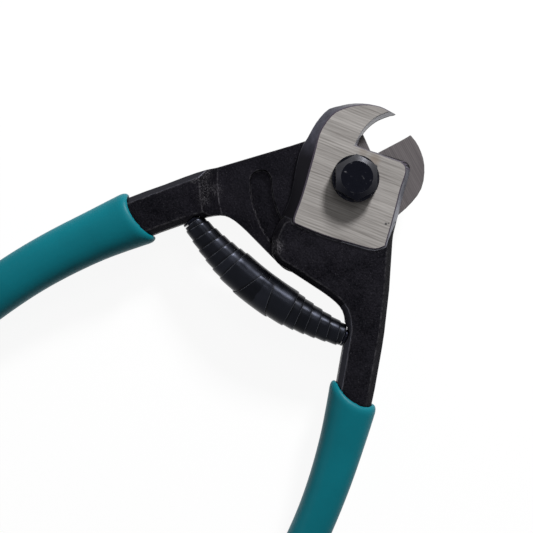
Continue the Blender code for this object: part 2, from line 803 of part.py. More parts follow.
def grip_ring(arm, station, rise=0.0, share=1.0, dipped=0.0):
    """One ring of a sleeve: it rises over the plain size, or shrinks to a share of it, and
    follows the dipped edge where dipped is 1."""
    wall = FIT_GAP + GRIP_SIDE_WALL
    outer = half_width(arm.outer, station) + wall
    inner = half_width(arm.inner, station) + wall
    thickness = 2 * (PLATE_HEIGHT + FIT_GAP + GRIP_FACE_WALL)
    middle = (outer - inner) / 2
    ring = []
    for across, height in section_points((outer + inner) * share + rise, thickness * share + rise):
        inward = 0.5 - across / (outer + inner)
        face = 2 * height / thickness
        edge = GRIP_FACE_DIP * face * face - arm.grip_slant * inward * inward
        place = beside_handle(station + dipped * edge, middle + across)
        ring.append(Vector((place.x, place.y, height)))
    return ring


def grip_mesh(arm, name):
    """Sleeve with a rolled lip at its mouth and a domed end."""
    rings = []
    for share, rise in GRIP_LIP_PROFILE:
        station = arm.grip_start + share * GRIP_LIP_LENGTH
        rings.append(grip_ring(arm, station, rise=rise, dipped=1.0))
    first = arm.grip_start + 3 * GRIP_LIP_LENGTH
    last = HANDLE_LENGTH - GRIP_END_WALL
    for index in range(GRIP_STATIONS):
        rings.append(grip_ring(arm, first + (last - first) * index / (GRIP_STATIONS - 1)))
    for turn in GRIP_DOME_TURNS:
        station = last + GRIP_END_WALL * math.sin(math.radians(turn))
        rings.append(grip_ring(arm, station, share=math.cos(math.radians(turn))))
    return lofted_rings(name, rings)


def core_cutter_mesh(arm, name):
    """The handle core with its clearance, which the sleeve is hollowed by."""
    start = arm.grip_start - arm.grip_slant - GRIP_LIP_LENGTH
    stations = stations_between(start, core_length() + FIT_GAP)
    outline = [outer_side(arm, station, FIT_GAP) for station in stations]
    outline += [inner_side(arm, station, FIT_GAP) for station in reversed(stations)]
    return chamfered_slab(name, outline, PLATE_HEIGHT + FIT_GAP, PLATE_CHAMFER)


def grip(arm, collection, cutters, finish):
    name = arm.name + "_grip"
    mesh = grip_mesh(arm, name)
    hollow = core_cutter_mesh(arm, name + "_hollow")
    if arm.facing < 0:
        for each in (mesh, hollow):
            turned_over(each)
    made = add_object(name, at_lap(mesh), collection)
    made.data.materials.append(finish)
    join_or_cut(made, add_cutter(name + "_hollow", at_lap(hollow), cutters), "DIFFERENCE")
    return made


def move_origin_to_pivot(things):
    """A moving piece turns about the pivot, so its parent empty stands on that axis."""
    pivot = bpy.data.objects.new("handle_pivot", None)
    pivot.location = (0, 0, LAP_Z)
    bpy.data.collections[COLLECTION].objects.link(pivot)
    for thing in things:
        thing.parent = pivot
        thing.matrix_parent_inverse = Matrix.Translation((0, 0, -LAP_Z))


def build():
    clear_scene()
    collection = new_collection(COLLECTION)
    cutters = new_collection("cutters")
    forged = material("forged_black_steel", (0.018, 0.018, 0.020), 0.42, 0.6)
    oxide = material("black_oxide_steel", (0.012, 0.012, 0.013), 0.35, 0.7)
    spring_steel = material("black_spring_steel", (0.015, 0.015, 0.016), 0.38, 0.7)
    bright = material("bright_steel", (0.35, 0.35, 0.34), 0.35, 1.0)
    vinyl = material("teal_vinyl", (0.006, 0.150, 0.180), 0.38, 0.0)
    front = front_arm(collection, cutters, forged)
    rear_arm(collection, cutters, forged)
    front_sleeve = grip(FRONT, collection, cutters, vinyl)
    grip(REAR, collection, cutters, vinyl)
    bolt, collar_high, head_high = pivot_bolt(collection, oxide)
    join_or_cut(bolt, hex_head("hex_head", collar_high - FIT_GAP, head_high, cutters), "UNION")
    washer(collection, oxide)
    nut(collection, cutters, oxide)
    stop_pin(collection, bright)
    front_seat = spring_seat(FRONT, collection, oxide)
    spring_seat(REAR, collection, oxide)
    volute_spring(collection, spring_steel)
    pin = bpy.data.objects["stop_pin"]
    move_origin_to_pivot([front, front_sleeve, front_seat, pin])
    for thing in collection.objects:
        if thing.type == "MESH":
            smooth_round(thing)


build()
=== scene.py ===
"""Looks of a hand cable cutter lying open on its back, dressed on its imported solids."""

import json
import math

import bmesh
import bpy
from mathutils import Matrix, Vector
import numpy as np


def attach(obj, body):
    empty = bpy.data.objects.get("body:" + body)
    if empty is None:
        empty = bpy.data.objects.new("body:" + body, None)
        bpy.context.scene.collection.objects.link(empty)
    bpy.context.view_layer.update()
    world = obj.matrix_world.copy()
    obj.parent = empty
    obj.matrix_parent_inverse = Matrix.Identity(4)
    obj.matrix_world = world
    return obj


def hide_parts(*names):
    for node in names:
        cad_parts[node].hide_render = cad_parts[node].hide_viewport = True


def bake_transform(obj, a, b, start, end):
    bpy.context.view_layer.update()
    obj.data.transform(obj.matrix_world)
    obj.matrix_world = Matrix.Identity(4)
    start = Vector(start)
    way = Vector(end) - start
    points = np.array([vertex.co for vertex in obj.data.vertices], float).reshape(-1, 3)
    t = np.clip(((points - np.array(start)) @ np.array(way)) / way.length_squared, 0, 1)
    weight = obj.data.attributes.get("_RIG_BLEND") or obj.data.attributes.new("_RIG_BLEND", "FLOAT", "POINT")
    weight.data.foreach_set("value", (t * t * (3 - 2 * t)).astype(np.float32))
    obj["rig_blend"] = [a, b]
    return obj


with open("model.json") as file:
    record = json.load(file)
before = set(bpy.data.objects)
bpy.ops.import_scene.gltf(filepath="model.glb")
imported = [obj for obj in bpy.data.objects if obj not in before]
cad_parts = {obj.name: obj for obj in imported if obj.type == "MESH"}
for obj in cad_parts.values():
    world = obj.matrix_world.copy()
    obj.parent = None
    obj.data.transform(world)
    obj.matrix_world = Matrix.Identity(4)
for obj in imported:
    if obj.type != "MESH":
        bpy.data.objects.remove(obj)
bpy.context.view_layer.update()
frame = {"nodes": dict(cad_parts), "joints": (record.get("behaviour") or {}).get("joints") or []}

# Camera, lights and floor
# The tool lies on a white sheet and is seen from straight above. A low lamp beyond the jaws
# throws the bolt's long shadow over the blade, and a higher one gives the short dark one.
MM = 0.001
LAP_Z = frame["joints"][0]["pos_m"][2]
CAMERA_PLACE = (-3.24 * MM, -36.7 * MM, LAP_Z + 318 * MM)
CAMERA_TURN = 40.3
CAMERA_ANGLE = 28.22
CLIP_START = 10 * MM
FLOOR_SIZE = 3.0
# Headings and heights are in degrees, distances and sizes in metres
LAMPS = (
    {"name": "low_lamp", "heading": 105, "height": 32, "distance": 0.75, "size": 0.13, "share": 0.78},
    {"name": "high_lamp", "heading": 110, "height": 62, "distance": 0.75, "size": 0.22, "share": 0.10},
    {"name": "side_lamp", "heading": 212, "height": 38, "distance": 0.90, "size": 0.50, "share": 0.05},
)
ROOM_LIGHT = 0.08
PAPER_GLOW = 0.922


def linear(text):
    """sRGB hex colour as linear values."""
    shares = [int(text[index : index + 2], 16) / 255 for index in (1, 3, 5)]
    levels = [share / 12.92 if share <= 0.04045 else ((share + 0.055) / 1.055) ** 2.4 for share in shares]
    return (*levels, 1.0)


def add_node(tree, kind, settings=None, links=None, values=None):
    """One shader node: its settings, and its links and values by input name or number."""
    made = tree.nodes.new(kind)
    for name, value in (settings or {}).items():
        setattr(made, name, value)
    for name, value in (values or {}).items():
        made.inputs[name].default_value = value
    for name, source in (links or {}).items():
        tree.links.new(source, made.inputs[name])
    return made


def new_tree(thing):
    """An empty node tree for a material or a world."""
    thing.use_nodes = True
    thing.node_tree.nodes.clear()
    return thing.node_tree


def seen_directly(tree):
    """One for the rays that show a white surround: the camera's, mirrored and let through."""
    rays = add_node(tree, "ShaderNodeLightPath")
    mirrored = add_node(
        tree,
        "ShaderNodeMath",
        {"operation": "MAXIMUM"},
        {0: rays.outputs["Is Camera Ray"], 1: rays.outputs["Is Glossy Ray"]},
    )
    return add_node(
        tree,
        "ShaderNodeMath",
        {"operation": "MAXIMUM"},
        {0: mirrored.outputs[0], 1: rays.outputs["Is Transmission Ray"]},
    )


camera = bpy.data.objects.new("camera", bpy.data.cameras.new("camera"))
camera.location = CAMERA_PLACE
camera.rotation_euler = (0, 0, math.radians(CAMERA_TURN))
camera.data.angle = math.radians(CAMERA_ANGLE)
camera.data.clip_start = CLIP_START
bpy.context.scene.collection.objects.link(camera)
bpy.context.scene.camera = camera
bpy.context.scene.view_settings.view_transform = "Standard"

for each in LAMPS:
    # A square soft lamp, strong enough to add its share of plain light to a level surface
    turn = math.radians(each["heading"])
    rise = math.radians(each["height"])
    back = Vector((math.cos(turn) * math.cos(rise), math.sin(turn) * math.cos(rise), math.sin(rise)))
    data = bpy.data.lights.new(each["name"], "AREA")
    data.size = each["size"]
    data.energy = each["share"] * math.pi ** 2 * each["distance"] ** 2 / math.sin(rise)
    lamp = bpy.data.objects.new(each["name"], data)
    lamp.location = back * each["distance"] + Vector((0, 0, LAP_Z))
    lamp.rotation_euler = back.to_track_quat("Z", "Y").to_euler()
    bpy.context.scene.collection.objects.link(lamp)

room = bpy.data.worlds.new("room")
bpy.context.scene.world = room
tree = new_tree(room)
grey = add_node(tree, "ShaderNodeBackground", values={"Strength": ROOM_LIGHT, "Color": linear("#ffffff")})
white = add_node(tree, "ShaderNodeBackground", values={"Strength": 1.0, "Color": linear("#ffffff")})
mixed = add_node(
    tree,
    "ShaderNodeMixShader",
    links={0: seen_directly(tree).outputs[0], 1: grey.outputs[0], 2: white.outputs[0]},
)
add_node(tree, "ShaderNodeOutputWorld", links={"Surface": mixed.outputs[0]})

# White paper, lit from behind as on a light table, so that the shadow on it stays faint
sheet = bpy.data.materials.new("white_paper_sheet")
tree = new_tree(sheet)
matt = add_node(tree, "ShaderNodeBsdfDiffuse", values={"Color": linear("#565656")})
glow = add_node(tree, "ShaderNodeEmission", values={"Color": linear("#ffffff"), "Strength": PAPER_GLOW})
lit = add_node(tree, "ShaderNodeAddShader", links={0: matt.outputs[0], 1: glow.outputs[0]})
plain = add_node(tree, "ShaderNodeBsdfDiffuse", values={"Color": linear("#d8d8d8")})
mixed = add_node(
    tree,
    "ShaderNodeMixShader",
    links={0: seen_directly(tree).outputs[0], 1: plain.outputs[0], 2: lit.outputs[0]},
)
add_node(tree, "ShaderNodeOutputMaterial", links={"Surface": mixed.outputs[0]})

bm = bmesh.new()
bmesh.ops.create_grid(bm, x_segments=1, y_segments=1, size=FLOOR_SIZE)
mesh = bpy.data.meshes.new("floor")
bm.to_mesh(mesh)
bm.free()
floor = bpy.data.objects.new("floor", mesh)
floor.data.materials.append(sheet)
bpy.context.scene.collection.objects.link(floor)


# Rear arm
# A drop-forged carbon steel arm, blued black in an oxide bath. Its vee jaw and its back round
# the nut are surface ground, and the front arm rubs the step where the lap begins.
WELD = 0.001 * MM
ARM_EDGE = 0.28 * MM
SHORT_EDGE = 0.3 * MM
SHARP_EDGE_ANGLE = 22
SMOOTH_ANGLE = 40
FLAT_ANGLE = 1.5
PAD_DEPTH = 5.0 * MM
LAP_GAP = 0.15 * MM
LAP_SPLIT = 9 * MM
LAP_FOOT = -14 * MM
HONED_START = 8 * MM
HONED_SIDE = -3 * MM
BOLT_SIDE = 8 * MM
NECK_START = -26 * MM
NECK_SIDE = 12 * MM
# Neck chamfers turned to this side get a lighter finish: a painted sheen
LIT_SIDE = (-0.76, -0.65)
LEVEL_SLACK = 0.05 * MM
RIM_REACH = 1.1
# Limits on a face's normal: level, a flank, turned to the bolt, sloped, across the way to the bolt
LEVEL = 0.9
FLANK_LIMIT = 0.95
TURNED_IN = 0.3
SLOPED = 0.4
ACROSS = 0.6
# Places of the finishes in the list of an arm's materials
FORGED, PAD, FLANK, LAPPED, HONED, BOLT_FLANK, RIM, SHEEN_CHAMFER = range(8)
# A wave texture of scale 1 repeats every 0.314 m
WAVE_PERIOD = 0.314
# Each rubbed spot: its middle, how far it is whole, and where it ends
STEP_RUBS = (
    ((-36.6 * MM, -30.5 * MM, LAP_Z + 3.8 * MM), 0.3 * MM, 2.4 * MM),
    ((-35.0 * MM, -27.2 * MM, LAP_Z + 2.7 * MM), -0.8 * MM, 3.6 * MM),
    ((-32.3 * MM, -30.5 * MM, LAP_Z + 2.8 * MM), -1.0 * MM, 4.0 * MM),
    ((-30.2 * MM, -33.4 * MM, LAP_Z + 3.3 * MM), -1.2 * MM, 3.4 * MM),
    ((-29.8 * MM, -29.2 * MM, LAP_Z + 0.5 * MM), -1.6 * MM, 3.6 * MM),
)
VEE_FLOOR = Vector((-0.1 * MM, 8.5 * MM, 0))
VEE_LIFT = Vector((-0.4 * MM, 0.85 * MM, 0))
VEE_FOOT = 7 * MM
LEFT_FLANK = 11.8 * MM
RIGHT_FLANK = 13.6 * MM


def merged_copy(node):
    """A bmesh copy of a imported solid, with its loose triangles merged."""
    bm = bmesh.new()
    bm.from_mesh(frame["nodes"][node].data)
    bmesh.ops.remove_doubles(bm, verts=bm.verts, dist=WELD)
    return bm


def join_flat(bm):
    """Joins the triangles of flat areas into single faces."""
    bmesh.ops.dissolve_limit(
        bm,
        angle_limit=math.radians(FLAT_ANGLE),
        verts=bm.verts,
        edges=bm.edges,
        use_dissolve_boundaries=False,
    )


def soften(bm, width, clamp=True):
    """Rounds the sharp edges and marks the round faces: worn edges, and on the spring also a painted edge
    highlight.
    """
    limit = math.radians(SHARP_EDGE_ANGLE)
    inner = [edge for edge in bm.edges if len(edge.link_faces) == 2]
    edges = [edge for edge in inner if edge.calc_face_angle(0.0) > limit]
    made = bmesh.ops.bevel(
        bm,
        geom=edges,
        offset=width,
        offset_type="OFFSET",
        affect="EDGES",
        segments=2,
        profile=0.5,
        material=-1,
        clamp_overlap=clamp,
    )
    layer = bm.loops.layers.float.new("edge_wear_and_highlight")
    for face in made["faces"]:
        for corner in face.loops:
            corner[layer] = 1.0


def finish_piece(name, bm, materials, stands_for=(), sharp=SMOOTH_ANGLE, flatten=True):
    """Makes the object from a bmesh and shades it."""
    mesh = bpy.data.meshes.new(name)
    bm.to_mesh(mesh)
    bm.free()
    for each in materials:
        mesh.materials.append(each)
    mesh.shade_smooth()
    mesh.set_sharp_from_angle(angle=math.radians(sharp))
    made = bpy.data.objects.new(name, mesh)
    bpy.context.scene.collection.objects.link(made)
    if stands_for:
        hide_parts(*stands_for)
    if flatten:
        shading = made.modifiers.new("flat_faces_stay_flat", "WEIGHTED_NORMAL")
        shading.keep_sharp = True
    return made


def close_to(tree, place, spot, full, none):
    """One near a spot of the piece, and nothing from a distance on."""
    away = add_node(
        tree,
        "ShaderNodeVectorMath",
        {"operation": "DISTANCE"},
        {0: place.outputs["Object"]},
        {1: spot},
    )
    return add_node(
        tree,
        "ShaderNodeMapRange",
        {"interpolation_type": "SMOOTHSTEP"},
        {"Value": away.outputs["Value"]},
        {"From Min": full, "From Max": none, "To Min": 1.0, "To Max": 0.0},
    )


def forged_black(name, rubs, light):
    """Drop-forged carbon steel, hot blued: a sandy grain about 0.5 mm across that the scale
    pressed in, nearly black, with bright specks where the tops of the grain are rubbed off."""
    made = bpy.data.materials.new(name)
    tree = new_tree(made)
    place = add_node(tree, "ShaderNodeTexCoord")
    at = {"Vector": place.outputs["Object"]}
    # Noise scales count per metre: the grain is 0.5 mm, the cloud 8 mm, the rubs 1.4 mm, the grit 0.4 mm
    grain = add_node(tree, "ShaderNodeTexNoise", None, at, {"Scale": 1900, "Detail": 3, "Roughness": 0.65})
    cloud = add_node(tree, "ShaderNodeTexNoise", None, at, {"Scale": 120, "Detail": 3, "Roughness": 0.55})
    rub = add_node(tree, "ShaderNodeTexNoise", None, at, {"Scale": 700, "Detail": 5, "Roughness": 0.75})
    grit = add_node(tree, "ShaderNodeTexNoise", None, at, {"Scale": 2600, "Detail": 4, "Roughness": 0.8})
    tone = add_node(
        tree,
        "ShaderNodeMix",
        {"data_type": "FLOAT"},
        {2: cloud.outputs["Fac"], 3: grain.outputs["Fac"]},
        {0: 0.6},
    )
    spread = add_node(
        tree, "ShaderNodeMapRange", None, {"Value": tone.outputs[0]}, {"From Min": 0.35, "From Max": 0.65}
    )
    base = add_node(
        tree,
        "ShaderNodeMix",
        {"data_type": "RGBA"},
        {0: spread.outputs[0]},
        {6: linear("#050508"), 7: linear(light)},
    )
    edge_wear_and_highlight = add_node(tree, "ShaderNodeAttribute", {"attribute_name": "edge_wear_and_highlight"})
    edge = add_node(
        tree,
        "ShaderNodeMapRange",
        None,
        {"Value": rub.outputs["Fac"]},
        {"From Min": 0.42, "From Max": 0.66, "To Max": 0.16},
    )
    edge_worn = add_node(
        tree, "ShaderNodeMath", {"operation": "MULTIPLY"}, {0: edge_wear_and_highlight.outputs["Fac"], 1: edge.outputs[0]}
    )
    near = close_to(tree, place, *rubs[0])
    for spot in rubs[1:]:
        other = close_to(tree, place, *spot)
        near = add_node(
            tree,
            "ShaderNodeMath",
            {"operation": "ADD", "use_clamp": True},
            {0: near.outputs[0], 1: other.outputs[0]},
        )
    patch = add_node(
        tree,
        "ShaderNodeMapRange",
        None,
        {"Value": grit.outputs["Fac"]},
        {"From Min": 0.49, "From Max": 0.70, "To Max": 0.75},
    )
    patch_worn = add_node(
        tree, "ShaderNodeMath", {"operation": "MULTIPLY"}, {0: near.outputs[0], 1: patch.outputs[0]}
    )
    specks = add_node(
        tree,
        "ShaderNodeMapRange",
        None,
        {"Value": grit.outputs["Fac"]},
        {"From Min": 0.60, "From Max": 0.80, "To Max": 0.30},
    )
    larger = add_node(
        tree, "ShaderNodeMath", {"operation": "MAXIMUM"}, {0: edge_worn.outputs[0], 1: patch_worn.outputs[0]}
    )
    worn = add_node(
        tree, "ShaderNodeMath", {"operation": "MAXIMUM"}, {0: larger.outputs[0], 1: specks.outputs[0]}
    )
    colour = add_node(
        tree,
        "ShaderNodeMix",
        {"data_type": "RGBA"},
        {0: worn.outputs[0], 6: base.outputs[2]},
        {7: linear("#7c7a7e")},
    )
    rough = add_node(
        tree,
        "ShaderNodeMapRange",
        None,
        {"Value": cloud.outputs["Fac"]},
        {"From Min": 0.3, "From Max": 0.7, "To Min": 0.40, "To Max": 0.55},
    )
    bump = add_node(
        tree, "ShaderNodeBump", None, {"Height": grain.outputs["Fac"]}, {"Strength": 0.8, "Distance": 0.0002}
    )
    shader = add_node(
        tree,
        "ShaderNodeBsdfPrincipled",
        None,
        {"Base Color": colour.outputs[2], "Roughness": rough.outputs[0], "Normal": bump.outputs["Normal"]},
        {"Metallic": 0.9, "Specular IOR Level": 0.1},
    )
    add_node(tree, "ShaderNodeOutputMaterial", None, {"Surface": shader.outputs[0]})
    return made


def ground_steel(name, light, dark, turn, metallic, roughness, pitch=0.55 * MM, lined=0.5, marks=()):
    """Surface-ground tool steel: the wheel leaves straight lines under 1 mm apart that catch
    the lamp one after the other, over the plain grey of hardened steel."""
    made = bpy.data.materials.new(name)
    tree = new_tree(made)
    place = add_node(tree, "ShaderNodeTexCoord")
    along = add_node(
        tree,
        "ShaderNodeMapping",
        None,
        {"Vector": place.outputs["Object"]},
        {"Rotation": (0, 0, math.radians(-turn))},
    )
    tones = []
    # Streaks about 14 mm long and 0.4 mm wide, and others 33 mm long and 1.4 mm wide
    for stretch, detail in (((70, 2400, 70), 4), ((30, 700, 30), 3)):
        squeezed = add_node(
            tree, "ShaderNodeVectorMath", {"operation": "MULTIPLY"}, {0: along.outputs[0]}, {1: stretch}
        )
        streaks = add_node(
            tree,
            "ShaderNodeTexNoise",
            None,
            {"Vector": squeezed.outputs[0]},
            {"Scale": 1.0, "Detail": detail, "Roughness": 0.6},
        )
        tones.append(
            add_node(
                tree,
                "ShaderNodeMapRange",
                None,
                {"Value": streaks.outputs["Fac"]},
                {"From Min": 0.3, "From Max": 0.7},
            )
        )
    lines = add_node(
        tree,
        "ShaderNodeTexWave",
        {"wave_type": "BANDS", "bands_direction": "Y"},
        {"Vector": along.outputs[0]},
        {"Scale": WAVE_PERIOD / pitch, "Distortion": 1.6, "Detail": 2, "Detail Scale": 0.35},
    )
    # Clouds about 9 mm across, in which the lines are deeper or fainter
    cloud = add_node(
        tree, "ShaderNodeTexNoise", None, {"Vector": place.outputs["Object"]}, {"Scale": 110, "Detail": 2}
    )
    depth = add_node(
        tree,
        "ShaderNodeMapRange",
        None,
        {"Value": cloud.outputs["Fac"]},
        {"From Min": 0.38, "From Max": 0.62, "To Min": 0.3 * lined, "To Max": 1.5 * lined},
    )
    streaky = add_node(
        tree,
        "ShaderNodeMix",
        {"data_type": "FLOAT"},
        {2: tones[0].outputs[0], 3: tones[1].outputs[0]},
        {0: 0.4},
    )
    both = add_node(
        tree,
        "ShaderNodeMix",
        {"data_type": "FLOAT"},
        {0: depth.outputs[0], 2: streaky.outputs[0], 3: lines.outputs["Fac"]},
    )
    colour = add_node(
        tree,
        "ShaderNodeMix",
        {"data_type": "RGBA"},
        {0: both.outputs[0]},
        {6: linear(dark), 7: linear(light)},
    )
    for spot, full, none, share, stain in marks:
        near = close_to(tree, place, spot, full, none)
        thin = add_node(tree, "ShaderNodeMath", {"operation": "MULTIPLY"}, {0: near.outputs[0]}, {1: share})
        colour = add_node(
            tree,
            "ShaderNodeMix",
            {"data_type": "RGBA"},
            {0: thin.outputs[0], 6: colour.outputs[2]},
            {7: linear(stain)},
        )
    bump = add_node(
        tree, "ShaderNodeBump", None, {"Height": both.outputs[0]}, {"Strength": 0.3, "Distance": 0.00006}
    )
    shader = add_node(
        tree,
        "ShaderNodeBsdfPrincipled",
        None,
        {"Base Color": colour.outputs[2], "Normal": bump.outputs["Normal"]},
        {"Metallic": metallic, "Roughness": roughness, "Specular IOR Level": 0.15},
    )
    add_node(tree, "ShaderNodeOutputMaterial", None, {"Surface": shader.outputs[0]})
    return made


def blued_ground(name, light, dark, spot, full, none, metallic=0.8):
    """Hardened steel that was ground before it was blued: smoother than the forging, with a
    cloud of 1.7 mm, and blue-grey, darker away from the spot where the blueing is thin."""
    made = bpy.data.materials.new(name)
    tree = new_tree(made)
    place = add_node(tree, "ShaderNodeTexCoord")
    cloud = add_node(
        tree,
        "ShaderNodeTexNoise",
        None,
        {"Vector": place.outputs["Object"]},
        {"Scale": 600, "Detail": 4, "Roughness": 0.65},
    )
    near = close_to(tree, place, spot, full, none)
    shade = add_node(
        tree, "ShaderNodeMath", {"operation": "MULTIPLY"}, {0: near.outputs[0], 1: cloud.outputs["Fac"]}
    )
    base = add_node(
        tree,
        "ShaderNodeMix",
        {"data_type": "RGBA"},
        {0: shade.outputs[0]},
        {6: linear(dark), 7: linear(light)},
    )
    edge_wear_and_highlight = add_node(tree, "ShaderNodeAttribute", {"attribute_name": "edge_wear_and_highlight"})
    rim = add_node(
        tree,
        "ShaderNodeMapRange",
        None,
        {"Value": cloud.outputs["Fac"]},
        {"From Min": 0.35, "From Max": 0.65, "To Min": 0.0, "To Max": 0.22},
    )
    worn = add_node(
        tree, "ShaderNodeMath", {"operation": "MULTIPLY"}, {0: edge_wear_and_highlight.outputs["Fac"], 1: rim.outputs[0]}
    )
    colour = add_node(
        tree,
        "ShaderNodeMix",
        {"data_type": "RGBA"},
        {0: worn.outputs[0], 6: base.outputs[2]},
        {7: linear("#7b7c88")},
    )
    bump = add_node(
        tree, "ShaderNodeBump", None, {"Height": cloud.outputs["Fac"]}, {"Strength": 0.2, "Distance": 0.0001}
    )
    shader = add_node(
        tree,
        "ShaderNodeBsdfPrincipled",
        None,
        {"Base Color": colour.outputs[2], "Normal": bump.outputs["Normal"]},
        {"Metallic": metallic, "Roughness": 0.4, "Specular IOR Level": 0.2},
    )
    add_node(tree, "ShaderNodeOutputMaterial", None, {"Surface": shader.outputs[0]})
    return made


def ground_faces(bm, facing):
    """Gives each face of an arm its finish, by where it lies and how it is turned. Neck chamfers
    turned to LIT_SIDE get a lighter finish, a painted sheen.
    """
    pad_level = LAP_Z + facing * PAD_DEPTH
    lap_level = LAP_Z + facing * LAP_GAP
    for face in bm.faces:
        middle = face.calc_center_median()
        up = facing * face.normal.z
        flank_top = max(facing * (vert.co.z - LAP_Z) for vert in face.verts)
        if up > LEVEL and abs(middle.z - pad_level) < LEVEL_SLACK:
            face.material_index = PAD
        elif up < -LEVEL and abs(middle.z - lap_level) < LEVEL_SLACK:
            beside_jaw = facing * middle.x < LAP_SPLIT and (facing > 0 or middle.y > LAP_FOOT)
            face.material_index = LAPPED if beside_jaw else FORGED
        elif flank_top > PAD_DEPTH - LEVEL_SLACK and up < FLANK_LIMIT:
            turned_in = facing * face.normal.x > TURNED_IN
            honed = turned_in and middle.y > HONED_START and facing * middle.x < HONED_SIDE
            beside_bolt = turned_in and facing * middle.x > BOLT_SIDE
            face.material_index = HONED if honed else BOLT_FLANK if beside_bolt else FLANK
        elif middle.y < NECK_START and abs(middle.x) > NECK_SIDE and SLOPED < abs(face.normal.z) < LEVEL:
            lengths = math.hypot(face.normal.x, face.normal.y) * math.hypot(middle.x, middle.y)
            across = abs(face.normal.x * middle.x + face.normal.y * middle.y) < ACROSS * lengths
            # Painted sheen: chamfers turned to the lit side take a lighter colour
            if across and face.normal.x * LIT_SIDE[0] + face.normal.y * LIT_SIDE[1] > 0:
                face.material_index = SHEEN_CHAMFER


def darken_rims(bm, facing):
    """Leaves the blueing on the rims of the ground pad, and below the honed edge."""
    worn = bm.loops.layers.float["edge_wear_and_highlight"]
    rims = []
    for face in [each for each in bm.faces if each.loops[0][worn] > 0]:
        beside = {other.material_index for edge in face.edges for other in edge.link_faces}
        top = max(facing * (vert.co.z - LAP_Z) for vert in face.verts)
        at_pad = top > PAD_DEPTH - RIM_REACH * ARM_EDGE
        round_pad = HONED not in beside and beside & {PAD, FLANK, BOLT_FLANK}
        if round_pad if at_pad else HONED in beside:
            rims.append(face)
    for face in rims:
        face.material_index = RIM
        for corner in face.loops:
            corner[worn] = 0.0


def lift_vee(bm):
    """Lifts the floor of the vee jaw towards its mouth, which the solid leaves deeper."""
    for vert in bm.verts:
        flat = Vector((vert.co.x, vert.co.y, 0))
        flank = LEFT_FLANK if flat.x < VEE_FLOOR.x else RIGHT_FLANK
        if flat.y > VEE_FOOT:
            vert.co += max(1 - (flat - VEE_FLOOR).length / flank, 0.0) * VEE_LIFT


def dress_arm(name, node, facing, materials, shape):
    """One arm on its solid's own shape, cut where its finishes meet."""
    bm = merged_copy(node)
    join_flat(bm)
    bmesh.ops.remove_doubles(bm, verts=bm.verts, dist=SHORT_EDGE)
    shape(bm)
    cuts = [((facing * LAP_SPLIT, 0, 0), (1, 0, 0)), ((0, LAP_FOOT, 0), (0, 1, 0))]
    for cut, across in cuts[: 1 if facing > 0 else 2]:
        bmesh.ops.bisect_plane(
            bm,
            geom=bm.verts[:] + bm.edges[:] + bm.faces[:],
            plane_co=cut,
            plane_no=across,
        )
    ground_faces(bm, facing)
    soften(bm, ARM_EDGE, clamp=False)
    darken_rims(bm, facing)
    return finish_piece(name, bm, materials, [node])


HOOK_CORNER = (-19.5 * MM, 11 * MM, LAP_Z + 3 * MM)
BESIDE_BOLT = (17 * MM, 0, LAP_Z + 3 * MM)
blued = blued_ground("blued_ground_steel", "#555563", "#131217", HOOK_CORNER, 7 * MM, 17 * MM)
side_blued = blued_ground("rubbed_blued_steel", "#9d9fa9", "#30313a", BESIDE_BOLT, 12 * MM, 30 * MM)
# The jaw's ground steel is a darker grey than the blade's: painted shade for the shade it lies in
jaw_ground_painted_shade = ground_steel("ground_jaw_steel_painted_shade", "#6c6768", "#494547", 158, 0.05, 0.5, lined=0.35)
back_ground = ground_steel("ground_pad_steel", "#a8a39e", "#7d7974", 70, 0.4, 0.45)
# The film on the rims is whole and matt, so that they stay dark also where they mirror the room
rim_blued = blued_ground("matt_blued_rims", "#3f3944", "#3f3944", HOOK_CORNER, 7 * MM, 17 * MM, 0.0)
# Lighter than the forging, on the chamfers turned to the lit side: a painted sheen
chamfer_painted_sheen = blued_ground("blued_chamfers_painted_sheen", "#292930", "#222228", HOOK_CORNER, 7 * MM, 17 * MM)
rear_forged = forged_black("rear_forged_black_oxide", STEP_RUBS, "#18171c")
finishes = [rear_forged, back_ground, blued, jaw_ground_painted_shade, jaw_ground_painted_shade, blued, rim_blued, chamfer_painted_sheen]
rear = dress_arm("rear_forged_arm", "rear_arm", -1, finishes, lift_vee)
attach(rear, "rear_arm")


# Front arm
# The same forging with a hooked blade. Its face is ground bright round the bolt, and the hook's
# cutting edge is honed to a narrow bevel. The lip beside the other arm is rubbed.
LIP_RUBS = (((-5.2 * MM, -30.6 * MM, LAP_Z + 4.0 * MM), 0.9 * MM, 3.6 * MM),)
# Places along Y and how far the hook's back is pushed out there, in millimetres
HOOK_BULGE = ((0.8, 0.0), (3.9, 0.55), (6.9, 1.05), (9.9, 1.5), (11.2, 1.6), (14.4, 0.8), (20.0, 0.0))
BULGE_START = -12.5
BULGE_FULL = -14.5
RIM_SHARE = 0.5
PAD_Z = LAP_Z + PAD_DEPTH
# Each mark on the pad: its middle, how far it is whole, where it ends, its strength and its colour
PAD_MARKS = (
    ((0.7 * MM, 7.9 * MM, PAD_Z), 0.4 * MM, 2.6 * MM, 0.55, "#7b6c5f"),
    ((-3.4 * MM, 7.6 * MM, PAD_Z), 0.3 * MM, 2.0 * MM, 0.35, "#7b6c5f"),
    ((15.5 * MM, -4.3 * MM, PAD_Z), 0.15 * MM, 0.55 * MM, 0.9, "#26262a"),
    ((16.0 * MM, -3.7 * MM, PAD_Z), 0.1 * MM, 0.4 * MM, 0.7, "#26262a"),
)
BLADE_PITCH = 0.85 * MM


def bulge_hook(bm):
    """Pushes the hook's back out to its blunt corner, which the solid leaves rounder."""
    for vert in bm.verts:
        across = vert.co.x / MM
        along = vert.co.y / MM
        share = min(max((BULGE_START - across) / (BULGE_START - BULGE_FULL), 0.0), 1.0)
        if vert.co.z > LAP_Z + PAD_DEPTH - LEVEL_SLACK:
            share *= RIM_SHARE
        for (start, low), (end, high) in zip(HOOK_BULGE, HOOK_BULGE[1:]):
            if start <= along <= end:
                vert.co.x -= share * (low + (high - low) * (along - start) / (end - start)) * MM


